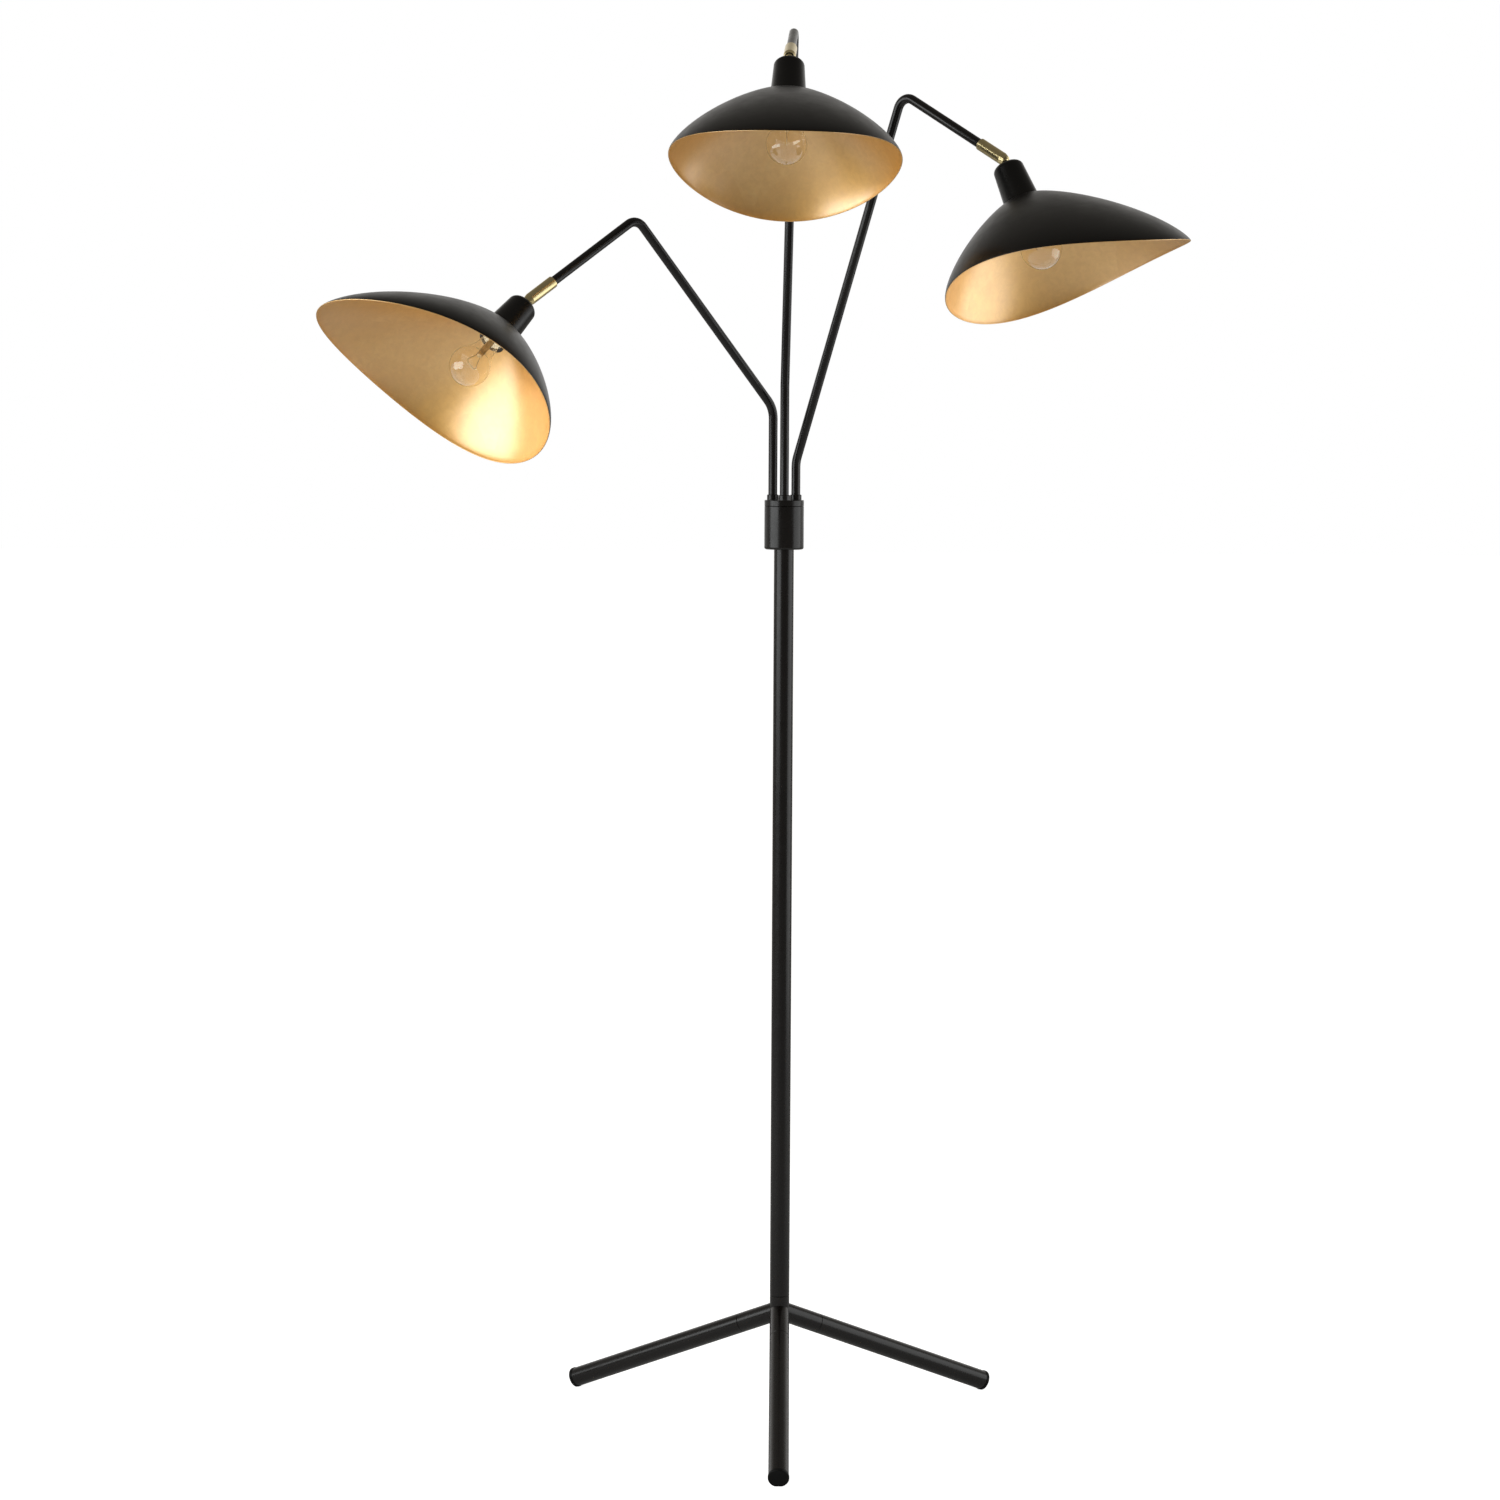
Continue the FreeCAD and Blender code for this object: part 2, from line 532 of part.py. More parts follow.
# ---------------------------------------------------------------- head
def make_cup():
    top = -CUP_DROP
    shoulder = top - CUP_DOME
    seat = -SEAT_DROP

    def shell(grow, roof, floor):
        """Cup outline shrunk by a wall, closed at its axis."""
        corner = V(CUP_SHOULDER_R - grow, 0, shoulder)
        flat_r = CUP_TOP_R - grow
        crown = V(flat_r, 0, roof - CUP_CROWN)
        dome_out = (CUP_SHOULDER_R - grow) * CUP_DOME_OUT
        dome_up = shoulder + (roof - shoulder) * CUP_DOME_UP
        middle = V(dome_out, 0, dome_up)
        base = V(CUP_BASE_R - grow, 0, floor)
        edges = [
            Part.LineSegment(V(0, 0, roof), crown).toShape(),
            Part.Arc(crown, middle, corner).toShape(),
            Part.LineSegment(corner, base).toShape(),
            Part.LineSegment(base, V(0, 0, floor)).toShape(),
            Part.LineSegment(V(0, 0, floor), V(0, 0, roof)).toShape(),
        ]
        return turned(edges)

    outer = shell(0, top, seat)
    inner = shell(CUP_WALL, top - CUP_TOP_WALL, seat - PAST)
    cup = outer.cut(inner).cut(disc(NECK_R + RUN_GAP, shoulder, 0))
    return cup.cut(cup_screw_bars(CUP_SCREW_R + THREAD_GAP, CUP_BASE_R + PAST))


def cup_screw_bars(radius, outer_end):
    """Two bars across the cup's wall, out to a distance from its axis."""
    bars = []
    for side in (V(0, 1, 0), V(0, -1, 0)):
        level = V(0, 0, CUP_SCREW_RISE - SEAT_DROP)
        inner_end = CUP_BASE_R - CUP_SCREW_LENGTH
        bars.append(cylinder(radius, level + side * inner_end, level + side * outer_end))
    return Part.makeCompound(bars)


def make_cup_screws():
    return cup_screw_bars(CUP_SCREW_R, CUP_BASE_R - CUP_SCREW_SINK)


def shade_point(t, angle):
    """Outer surface of the shade: t runs from the seat (0) to the rim (1)."""
    half_length = SHADE_SEAT_R + (SHADE_LENGTH / 2.0 - SHADE_SEAT_R) * t
    half_width = SHADE_SEAT_R + (SHADE_WIDTH / 2.0 - SHADE_SEAT_R) * t
    rim_x = SHADE_OFFSET + SHADE_LENGTH / 2.0 * math.cos(angle)
    lean = math.tan(math.radians(SHADE_RIM_TILT)) * rim_x
    drop = SHADE_DEPTH + lean + SHADE_RIM_BOW * math.cos(angle) ** 2
    rise = 1 - (1 - t ** SHADE_RISE_POWER) ** (1 / SHADE_WALL_POWER)
    x = SHADE_OFFSET * t + half_length * math.cos(angle)
    y = half_width * math.sin(angle)
    return V(x, y, -SEAT_DROP - drop * rise)


def shade_inner_point(t, angle):
    """Point one sheet thickness inside the outer surface."""
    if t == 0:
        return shade_point(0, angle) - V(0, 0, SHADE_SHEET)
    low = max(t - SHADE_STEP, 0)
    high = min(t + SHADE_STEP, 1)
    down = shade_point(high, angle) - shade_point(low, angle)
    round_it = shade_point(t, angle + SHADE_STEP) - shade_point(t, angle - SHADE_STEP)
    return shade_point(t, angle) - round_it.cross(down * -1).normalize() * SHADE_SHEET


def closed_curve(points):
    curve = Part.BSplineCurve()
    curve.interpolate(Points=points, PeriodicFlag=True)
    return Part.Wire(curve.toShape())


def shade_rings(point):
    angles = [2 * math.pi * i / SHADE_RING_POINTS for i in range(SHADE_RING_POINTS)]
    return [closed_curve([point(t, a) for a in angles]) for t in SHADE_LEVELS]


def make_shade():
    outer_rings = shade_rings(shade_point)
    inner_rings = shade_rings(shade_inner_point)
    outer = Part.makeLoft(outer_rings, False, False)
    inner = Part.makeLoft(inner_rings, False, False)
    rim = Part.makeRuledSurface(outer_rings[-1].Edges[0], inner_rings[-1].Edges[0])
    hole_top = Part.Wire(Part.makeCircle(SHADE_HOLE_R, V(0, 0, -SEAT_DROP)))
    hole_bottom = Part.Wire(Part.makeCircle(SHADE_HOLE_R, V(0, 0, -SEAT_DROP - SHADE_SHEET)))
    top = Part.makeFace([outer_rings[0], hole_top], "Part::FaceMakerBullseye")
    bottom = Part.makeFace([inner_rings[0], hole_bottom], "Part::FaceMakerBullseye")
    hole = Part.makeRuledSurface(hole_top.Edges[0], hole_bottom.Edges[0])
    faces = outer.Faces + inner.Faces + rim.Faces + [top, bottom] + hole.Faces
    shell = Part.Compound(faces)
    shell.sewShape(SEW_GAP)
    solid = Part.Solid(shell.Shells[0])
    if solid.Volume < 0:
        solid.reverse()
    return solid


def make_shade_ring():
    top = -SEAT_DROP - SHADE_SHEET
    clamp = ring(RING_R, SOCKET_R + THREAD_GAP, top - RING_HEIGHT, top)
    return rounded(clamp, EDGE, lambda c: c.z < top - RING_HEIGHT + NEARLY)


def make_socket():
    seat = -SEAT_DROP
    body = disc(SOCKET_R, -SOCKET_BOTTOM_DROP, -SOCKET_TOP_DROP)
    body = body.fuse(disc(SOCKET_FLANGE_R, seat, seat + SOCKET_FLANGE_HEIGHT))
    bore = disc(SOCKET_BORE_R, -SOCKET_BOTTOM_DROP - PAST, -SOCKET_TOP_DROP - SOCKET_ROOF)
    return body.cut(bore).cut(cup_screw_bars(CUP_SCREW_R + THREAD_GAP, CUP_BASE_R))


def make_bulb_base():
    top = BASE_LENGTH - BASE_OPEN_DROP
    base = disc(BASE_R, -BASE_OPEN_DROP, top)
    base = rounded(base, BASE_EDGE, lambda c: c.z > top - NEARLY)
    return base.fuse(disc(CONTACT_R, top, top + CONTACT_HEIGHT))


def globe_section(radius, neck_r, top):
    """Closed half section of a globe on a neck, its axis side included."""
    centre = V(0, 0, -BULB_CENTRE_DROP)
    meet = centre + direction(0, UPRIGHT - BULB_SHOULDER) * radius
    side = centre + V(radius, 0, 0)
    end = centre - UP * radius
    neck_top = V(neck_r, 0, top)
    neck_end = V(neck_r, 0, -BASE_OPEN_DROP - BULB_NECK_LENGTH)
    chord = (meet - neck_end).normalize()
    hollow = (neck_end + meet) / 2 + V(chord.z, 0, -chord.x) * BULB_NECK_HOLLOW
    return [
        Part.LineSegment(V(0, 0, top), neck_top).toShape(),
        Part.LineSegment(neck_top, neck_end).toShape(),
        Part.Arc(neck_end, hollow, meet).toShape(),
        Part.Arc(meet, side, end).toShape(),
        Part.LineSegment(end, V(0, 0, top)).toShape(),
    ]


def make_bulb_glass():
    outer = turned(globe_section(BULB_R, BULB_NECK_R, -BASE_OPEN_DROP))
    bore_r = BULB_NECK_R - BULB_GLASS
    inner = turned(globe_section(BULB_R - BULB_GLASS, bore_r, PAST - BASE_OPEN_DROP))
    return outer.cut(inner)


def make_filament():
    top = -BASE_OPEN_DROP
    root = top - STEM_LENGTH
    low = root - SUPPORT_LENGTH
    stem = disc(STEM_R, root, top).fuse(Part.makeSphere(STEM_R, V(0, 0, root)))
    corners = [
        V(-FILAMENT_ROOT, 0, root), V(-FILAMENT_SPREAD, 0, low),
        V(FILAMENT_SPREAD, 0, low), V(FILAMENT_ROOT, 0, root),
    ]
    wire = rod_path(corners, [FILAMENT_BEND_R, FILAMENT_BEND_R])
    return stem.fuse(swept(wire, SUPPORT_R))


def in_head(shape, lamp):
    """Place a head piece: the ball centre is its origin, the nose is along +X."""
    _, _, ball = arm_corners(lamp)
    up = cup_up(lamp)
    level = direction(lamp["nose"], 0)
    nose = V(level.x, level.y, -level.dot(up) / up.z)
    return placed(shape, ball, nose.normalize(), up)


# ---------------------------------------------------------------- all nodes
def build():
    nodes = {}
    nodes["hub"] = make_hub()
    for side, azimuth in LEG_AZIMUTHS.items():
        nodes["leg_" + side] = make_leg(azimuth)
        nodes["foot_plug_" + side] = make_foot_plug(azimuth)
    nodes["leg_studs"] = make_leg_studs()
    nodes["pole_tube"] = make_pole()
    nodes["pole_cable"] = make_pole_cable()
    nodes["cord_bushing"] = make_cord_bushing()
    lower = make_nipple(HUB_TOP - END_DISC, HUB_TOP + END_DISC)
    upper = make_nipple(COLLAR_BOTTOM - NIPPLE_IN_POLE, NIPPLE_TOP)
    nodes["pole_nipples"] = Part.makeCompound([lower, upper])
    nodes["collar_body"] = make_collar_body()
    nodes["collar_cap"] = make_collar_cap()
    nodes["collar_nut"] = make_collar_nut()
    nodes["collar_screw"] = make_collar_screw()
    nodes["terminal_block"] = make_terminal_block()
    nodes["arm_washers"] = make_arm_washers()
    head_makers = {
        "ball_stud": make_ball_stud, "cup": make_cup, "cup_screws": make_cup_screws,
        "shade": make_shade,
        "shade_ring": make_shade_ring, "lamp_socket": make_socket,
        "bulb_base": make_bulb_base, "bulb_glass": make_bulb_glass,
        "bulb_filament": make_filament,
    }
    head_shapes = {name: maker() for name, maker in head_makers.items()}
    for side, lamp in LAMPS.items():
        nodes["arm_tube_" + side] = make_arm_tube(lamp)
        nodes["arm_flange_" + side] = make_arm_flange(lamp)
        nodes["arm_lock_ring_" + side] = make_lock_ring(lamp)
        nodes["arm_lead_" + side] = make_arm_lead(lamp)
        nodes["sleeve_" + side] = make_sleeve(lamp)
        for name, shape in head_shapes.items():
            nodes[name + "_" + side] = in_head(shape, lamp)
    return nodes


NODES = build()
os.makedirs("parts", exist_ok=True)
for node, shape in NODES.items():
    shape.exportStep("parts/" + node + ".step")
    solids = shape.Solids
    print(node, len(solids), "solid(s)", round(sum(s.Volume for s in solids)), "mm3", shape.isValid())
print(len(NODES), "nodes")
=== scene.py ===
import json
import math

import bpy
from mathutils import Matrix, Vector

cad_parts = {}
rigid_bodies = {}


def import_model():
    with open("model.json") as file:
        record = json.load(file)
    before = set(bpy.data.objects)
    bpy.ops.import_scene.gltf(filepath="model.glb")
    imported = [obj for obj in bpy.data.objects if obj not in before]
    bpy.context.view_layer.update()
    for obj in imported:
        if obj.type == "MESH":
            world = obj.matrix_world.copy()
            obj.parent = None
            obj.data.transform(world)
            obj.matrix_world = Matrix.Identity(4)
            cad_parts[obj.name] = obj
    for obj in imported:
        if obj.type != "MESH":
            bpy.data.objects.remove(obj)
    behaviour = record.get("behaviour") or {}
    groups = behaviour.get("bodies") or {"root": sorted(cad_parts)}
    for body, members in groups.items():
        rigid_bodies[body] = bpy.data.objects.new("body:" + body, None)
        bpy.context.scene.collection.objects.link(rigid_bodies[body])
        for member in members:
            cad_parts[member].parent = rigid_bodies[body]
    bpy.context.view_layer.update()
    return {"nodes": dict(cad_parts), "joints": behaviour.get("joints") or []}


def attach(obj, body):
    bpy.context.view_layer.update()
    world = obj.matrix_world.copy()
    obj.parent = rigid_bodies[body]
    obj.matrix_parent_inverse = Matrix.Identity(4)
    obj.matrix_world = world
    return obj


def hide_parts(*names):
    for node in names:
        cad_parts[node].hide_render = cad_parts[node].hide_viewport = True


# Three-arm floor lamp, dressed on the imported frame. Metres and degrees, +Z up, -Y is
# the front. The stand, arms, joints, sockets and bases are the frame's own nodes with a
# finish each. The shades, the cups and the bulbs' glass are finer meshes on the same sizes.

for leftover in list(bpy.data.objects):
    bpy.data.objects.remove(leftover)

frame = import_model()
NODES = frame["nodes"]
JOINTS = {joint["name"]: joint for joint in frame["joints"]}
SIDES = ("left", "middle", "right")
TURN = 2 * math.pi
QUARTER = math.pi / 2

# ---------------------------------------------------------------- camera sizes
IMAGE_SIZE = 1500.0           # pixels along each side of the photograph
FOCAL_PIXELS = 3771.0
SENSOR = 36.0                 # millimetres
CAMERA_PLACE = (0.0, -4.8329, 1.3133)
CAMERA_PITCH = -5.157
CAMERA_YAW = -0.5             # turned this far to the right of +Y, seen from above
CAMERA_ROLL = 0.292

# ---------------------------------------------------------------- shade sizes
NOSE_AZIMUTH = {"left": -141.8, "middle": -91.2, "right": -55.6}
SEAT_DROP = 0.060             # ball centre to the seat of the shade
SHADE_LENGTH = 0.313
SHADE_WIDTH = 0.278
SHADE_DEPTH = 0.096
SHADE_OFFSET = 0.025          # middle of the rim ahead of the cup's axis
SHADE_RIM_TILT = 14.0
SHADE_RIM_BOW = 0.027         # how far nose and tail of the rim hang below its sides
SHADE_RISE_POWER = 1.2        # these two shape the curve from seat to rim
SHADE_WALL_POWER = 1.3
SHADE_SEAT_R = 0.0225
SHADE_HOLE_R = 0.0173
SHADE_SHEET = 0.0012
SHADE_AROUND = 168            # points round the shade
SHADE_DOWN = 46               # rings from seat to rim
SHADE_RING_POWER = 1.15       # spreads the rings, which lie closest at the rim
RIM_STEPS = 6                 # points round the rolled rim
SLOPE_STEP = 0.001            # step over which a surface's slope is taken

# ---------------------------------------------------------------- cup sizes
CUP_DROP = 0.0065             # ball centre to the cup's top
CUP_HOLE_R = 0.0024           # hole for the stud's neck
CUP_TOP_R = 0.009
CUP_CROWN = 0.0006            # how far the flat top falls to its edge
CUP_CROWN_MID = (0.0063, 0.00024)   # radius and fall of a point on the way
CUP_DOME = 0.0085             # top to shoulder
CUP_DOME_STEPS = 14
CUP_SHOULDER_R = 0.0188
CUP_BASE_R = 0.022
CUP_BASE_LIFT = 0.0001        # base above the shade's seat
CUP_BEAD_R = 0.0006           # rounding of the base's outer edge
CUP_BEAD_START = 20.0         # from this angle above level, down to the base
CUP_BEAD_STEPS = 5
CUP_WALL = 0.0018
CUP_ROOF = 0.0045             # inner roof above the shoulder, at the top's edge
CUP_ROOF_MIDDLE = 0.006       # and at the hole

# ---------------------------------------------------------------- bulb sizes
BASE_OPEN_DROP = 0.078        # ball centre to the open end of the screw base
BULB_R = 0.025
BULB_CENTRE_DROP = 0.126      # ball centre to the globe's centre
BULB_SHOULDER = 52.0          # angle from the top at which neck meets globe
BULB_NECK_R = 0.0126
BULB_NECK_LENGTH = 0.012
BULB_NECK_HOLLOW = 0.0012     # how far the neck curves in on its way to the globe
BULB_NECK_STEPS = 10
BULB_GLOBE_STEPS = 40
BULB_TIP_R = 0.00002          # smallest ring, which closes the globe's foot
BULB_GLASS = 0.0005

# ---------------------------------------------------------------- mesh sizes
LATHE_STEPS = 96
SHARP_ANGLE = 32.0            # edges that turn more than this stay crisp
RIM_SHARP_ANGLE = 60.0        # on a shade, whose rolled rim has only a few steps

# ---------------------------------------------------------------- colours, linear
WHITE = (1.0, 1.0, 1.0)
STAND_TONES = ((0.0032, 0.0022, 0.0020), (0.0062, 0.0048, 0.0043))
CUP_TONES = ((0.0030, 0.0026, 0.0024), (0.0060, 0.0053, 0.0048))
SHADE_TONES = ((0.0038, 0.0030, 0.0024), (0.0075, 0.0062, 0.0050))
SPUN_TONES = ((0.0030, 0.0024, 0.0018), (0.0085, 0.0070, 0.0056))
DUST = (0.10, 0.09, 0.08)
LEAF_TONES = ((0.86, 0.470, 0.060), (0.89, 0.505, 0.078), (0.92, 0.540, 0.100))
LEAF_RUBBED = (0.75, 0.385, 0.035)
LEAF_WORN = (0.93, 0.62, 0.16)
BRASS_TONES = ((0.62, 0.50, 0.25), (0.70, 0.58, 0.31), (0.76, 0.65, 0.38))
GLASS_TONES = ((1.0, 0.965, 0.90), (1.0, 0.985, 0.95))
WIRE_TONES = ((0.52, 0.38, 0.20), (0.74, 0.58, 0.35))
PLUG_BLACK = (0.0028, 0.0028, 0.0028)
PLASTIC_BLACK = (0.014, 0.013, 0.012)
CABLE_BLACK = (0.016, 0.016, 0.016)
STEEL_GREY = (0.56, 0.56, 0.57)
BASE_YELLOW = (0.80, 0.74, 0.58)

# ---------------------------------------------------------------- paint and leaf
DUST_SHARE = 0.15             # how much of the dust's colour a speck shows
RING_SHARE = 0.3              # how much of the spun rings the shade's paint shows
RING_STRETCH = 0.35           # rings change this much slower down the axis
LEAF_SCALE = 15.0             # leaves per metre
LEAF_SCATTER = 0.35           # how far the leaves stray from a regular grid
LEAF_TURN = 27.0              # of the grid, in the head's frame
LEAF_WANDER = 0.012           # how far the leaves' edges wander
LEAF_ASKEW = (0.5, 0.9, 0.3)  # turns the second noise of that away from the first

# ---------------------------------------------------------------- room
ROOM_COLOUR = (1.0, 0.94, 0.83)
ROOM_DIM = 0.17               # brightness in front of the lamp
ROOM_BRIGHT = 0.95            # and low behind it
ROOM_TOP = 0.05               # share of that which is left overhead
ROOM_FRONT = -0.1             # the room brightens between these depths
ROOM_BACK = 0.9
ROOM_LOW = 0.0                # and darkens between these heights
ROOM_HIGH = 0.60
FLOOR_HALF = 30.0             # half the side of the floor
FLOOR_TONE = (0.76, 0.76, 0.76)
FLOOR_GLOW = 0.88             # lifts the floor to the white of the backdrop
FLOOR_MIRRORED = 0.08         # share of that glow which gloss shows
LIGHTS = {
    "key_left": {
        "place": (-2.55, -1.40, 1.75), "aim": (0.0, 0.0, 1.35),
        "width": 2.9, "height": 2.1, "power": 66.0, "colour": (0.96, 0.99, 1.0),
    },
    "fill_right": {
        "place": (2.4, -0.3, 1.25), "aim": (0.3, -0.3, 1.35),
        "width": 2.4, "height": 2.2, "power": 28.0, "colour": (0.97, 0.99, 1.0),
    },
}


# ---------------------------------------------------------------- places
def azimuth(degrees):
    """Level direction, measured from +X towards +Y."""
    angle = math.radians(degrees)
    return Vector((math.cos(angle), math.sin(angle), 0))


def joint_place(name):
    return Vector(JOINTS[name]["pos_m"])


def joint_axis(name):
    return Vector(JOINTS[name]["axis"]).normalized()


def head_matrix(side):
    """Frame of a head: the ball's centre, the nose along +X, the cup's top along +Z."""
    up = joint_axis("head_spin_" + side)
    level = azimuth(NOSE_AZIMUTH[side])
    nose = Vector((level.x, level.y, -level.dot(up) / up.z)).normalized()
    across = up.cross(nose)
    turn = Matrix((nose, across, up)).transposed().to_4x4()
    return Matrix.Translation(joint_place("head_spin_" + side)) @ turn


# ---------------------------------------------------------------- mesh helpers
def make_piece(name, points, faces, materials, matrix, slots=None, sharp=SHARP_ANGLE):
    """Mesh in the frame's own space. "place" keeps each point's place in its head."""
    mesh = bpy.data.meshes.new(name)
    mesh.from_pydata([tuple(matrix @ Vector(p)) for p in points], [], faces)
    local = mesh.attributes.new("place", "FLOAT_VECTOR", "POINT")
    local.data.foreach_set("vector", [value for p in points for value in p])
    for material in materials:
        mesh.materials.append(material)
    if slots:
        mesh.polygons.foreach_set("material_index", slots)
    mesh.polygons.foreach_set("use_smooth", [True] * len(mesh.polygons))
    mesh.set_sharp_from_angle(angle=math.radians(sharp))
    piece = bpy.data.objects.new(name, mesh)
    bpy.context.scene.collection.objects.link(piece)
    return piece


def ring_faces(rows, around):
    """Quads between rows that go all the way round. The last row meets the first."""
    faces = []
    for row in range(rows):
        above = row * around
        below = (row + 1) % rows * around
        for i in range(around):
            j = (i + 1) % around
            faces.append((below + i, below + j, above + j, above + i))
    return faces


def arc(centre, radius, start, end, steps):
    """(radius, height) points on an arc, angles from the outward direction."""
    points = []
    for i in range(steps + 1):
        angle = math.radians(start + (end - start) * i / steps)
        points.append((centre[0] + radius * math.cos(angle),
                       centre[1] + radius * math.sin(angle)))
    return points


def lathe(name, profile, material, matrix):
    """Turn a closed profile of (radius, height) points about Z."""
    points = []
    for radius, height in profile:
        for i in range(LATHE_STEPS):
            angle = TURN * i / LATHE_STEPS
            points.append((radius * math.cos(angle), radius * math.sin(angle), height))
    return make_piece(name, points, ring_faces(len(profile), LATHE_STEPS), [material], matrix)


# ---------------------------------------------------------------- node helpers
class Nodes:
    """Short ways to add nodes to a tree and to join them."""

    def __init__(self, tree):
        self.tree = tree

    def node(self, kind, **settings):
        made = self.tree.nodes.new(kind)
        for key, value in settings.items():
            setattr(made, key, value)
        return made

    def link(self, source, target):
        self.tree.links.new(source, target)

    def feed(self, socket, value):
        """Give a socket another node's output, a number or a colour."""
        if isinstance(value, (int, float)):
            socket.default_value = value
        elif isinstance(value, tuple):
            socket.default_value = (*value, 1)
        else:
            self.link(value, socket)

    def math(self, operation, *values):
        made = self.node("ShaderNodeMath", operation=operation)
        for socket, value in zip(made.inputs, values):
            self.feed(socket, value)
        return made.outputs[0]

    def map_range(self, value, from_min, from_max, to_min, to_max):
        made = self.node("ShaderNodeMapRange")
        self.link(value, made.inputs["Value"])
        names = ("From Min", "From Max", "To Min", "To Max")
        for name, limit in zip(names, (from_min, from_max, to_min, to_max)):
            made.inputs[name].default_value = limit
        return made.outputs[0]


class Finish(Nodes):
    """A surface under construction. Noise scales are per metre."""

    def __init__(self, name, in_head=False):
        self.material = bpy.data.materials.new(name)
        self.material.use_nodes = True
        super().__init__(self.material.node_tree)
        self.shader = self.tree.nodes["Principled BSDF"]
        if in_head:
            kept = self.node("ShaderNodeAttribute", attribute_name="place")
            self.place = kept.outputs["Vector"]
        else:
            self.place = self.node("ShaderNodeTexCoord").outputs["Object"]

    def set(self, **values):
        """Constants on the shader's own sockets."""
        for key, value in values.items():
            self.shader.inputs[key.replace("_", " ")].default_value = value

    def turned(self, place, rotation):
        made = self.node("ShaderNodeMapping")
        made.inputs["Rotation"].default_value = rotation
        self.link(place, made.inputs["Vector"])
        return made.outputs["Vector"]

    def noise(self, scale, detail, rough=0.55, place=None, distortion=0.0):
        made = self.node("ShaderNodeTexNoise")
        made.inputs["Scale"].default_value = scale
        made.inputs["Detail"].default_value = detail
        made.inputs["Roughness"].default_value = rough
        made.inputs["Distortion"].default_value = distortion
        self.link(place or self.place, made.inputs["Vector"])
        return made.outputs["Fac"]

    def ramp(self, value, positions, tones):
        """Colours or greys at positions between 0 and 1."""
        made = self.node("ShaderNodeValToRGB")
        ramp = made.color_ramp
        while len(ramp.elements) < len(tones):
            ramp.elements.new(0.5)
        for element, position, tone in zip(ramp.elements, positions, tones):
            element.position = position
            element.color = (*tone, 1) if isinstance(tone, tuple) else (tone, tone, tone, 1)
        self.link(value, made.inputs["Fac"])
        return made.outputs["Color"]

    def mix(self, factor, first, second):
        made = self.node("ShaderNodeMix", data_type="RGBA")
        for index, value in ((0, factor), (6, first), (7, second)):
            self.feed(made.inputs[index], value)
        return made.outputs[2]

    def colour(self, tone):
        self.link(tone, self.shader.inputs["Base Color"])

    def roughness(self, noise, positions, values):
        self.link(self.ramp(noise, positions, values), self.shader.inputs["Roughness"])

    def relief(self, *layers):
        """Bumps laid one over another, each a height, a distance and a strength."""
        normal = None
        for height, distance, strength in layers:
            made = self.node("ShaderNodeBump")
            made.inputs["Distance"].default_value = distance
            made.inputs["Strength"].default_value = strength
            self.link(height, made.inputs["Height"])
            if normal:
                self.link(normal, made.inputs["Normal"])
            normal = made.outputs["Normal"]
        self.link(normal, self.shader.inputs["Normal"])


# ---------------------------------------------------------------- finishes
def scaled(colour, share):
    return tuple(channel * share for channel in colour)


def paint(name, tones, gloss, coat, shine):
    """Sprayed paint: cloudy tone, orange peel and a few dust specks."""
    finish = Finish(name)
    tone = finish.ramp(finish.noise(14.0, detail=5.0), (0.3, 0.75), tones)
    specks = finish.ramp(finish.noise(1300.0, detail=1.0), (0.76, 0.82), (0.0, 1.0))
    finish.colour(finish.mix(finish.math("MULTIPLY", specks, DUST_SHARE), tone, DUST))
    rubbed = finish.noise(60.0, detail=6.0, rough=0.65)
    finish.roughness(rubbed, (0.25, 0.8), (gloss - 0.05, gloss + 0.09))
    peel = finish.noise(420.0, detail=2.0)
    fine = finish.noise(2400.0, detail=2.0)
    finish.relief((peel, 0.00003, 0.12), (fine, 0.00001, 0.1))
    finish.set(Coat_Weight=coat, Coat_Roughness=0.16, IOR=1.5, Specular_IOR_Level=shine)
    return finish.material


def shade_paint():
    """Satin paint over a spun sheet: faint rings about the head's axis."""
    finish = Finish("shade_paint", in_head=True)
    split = finish.node("ShaderNodeSeparateXYZ")
    finish.link(finish.place, split.inputs[0])
    across = finish.math("POWER", split.outputs["X"], 2.0)
    along = finish.math("POWER", split.outputs["Y"], 2.0)
    join = finish.node("ShaderNodeCombineXYZ")
    finish.link(finish.math("SQRT", finish.math("ADD", across, along)), join.inputs["X"])
    finish.link(finish.math("MULTIPLY", split.outputs["Z"], RING_STRETCH), join.inputs["Y"])
    rings = finish.noise(420.0, detail=3.0, rough=0.6, place=join.outputs[0])
    cloud = finish.noise(16.0, detail=6.0, rough=0.6)
    tone = finish.ramp(cloud, (0.28, 0.78), SHADE_TONES)
    finish.colour(finish.mix(RING_SHARE, tone, finish.ramp(rings, (0.3, 0.7), SPUN_TONES)))
    finish.roughness(finish.noise(48.0, detail=6.0, rough=0.7), (0.25, 0.8), (0.30, 0.42))
    peel = finish.noise(900.0, detail=2.0)
    finish.relief((rings, 0.00005, 0.35), (peel, 0.00002, 0.5))
    finish.set(Coat_Weight=0.06, Coat_Roughness=0.3, IOR=1.5, Specular_IOR_Level=0.22)
    return finish.material


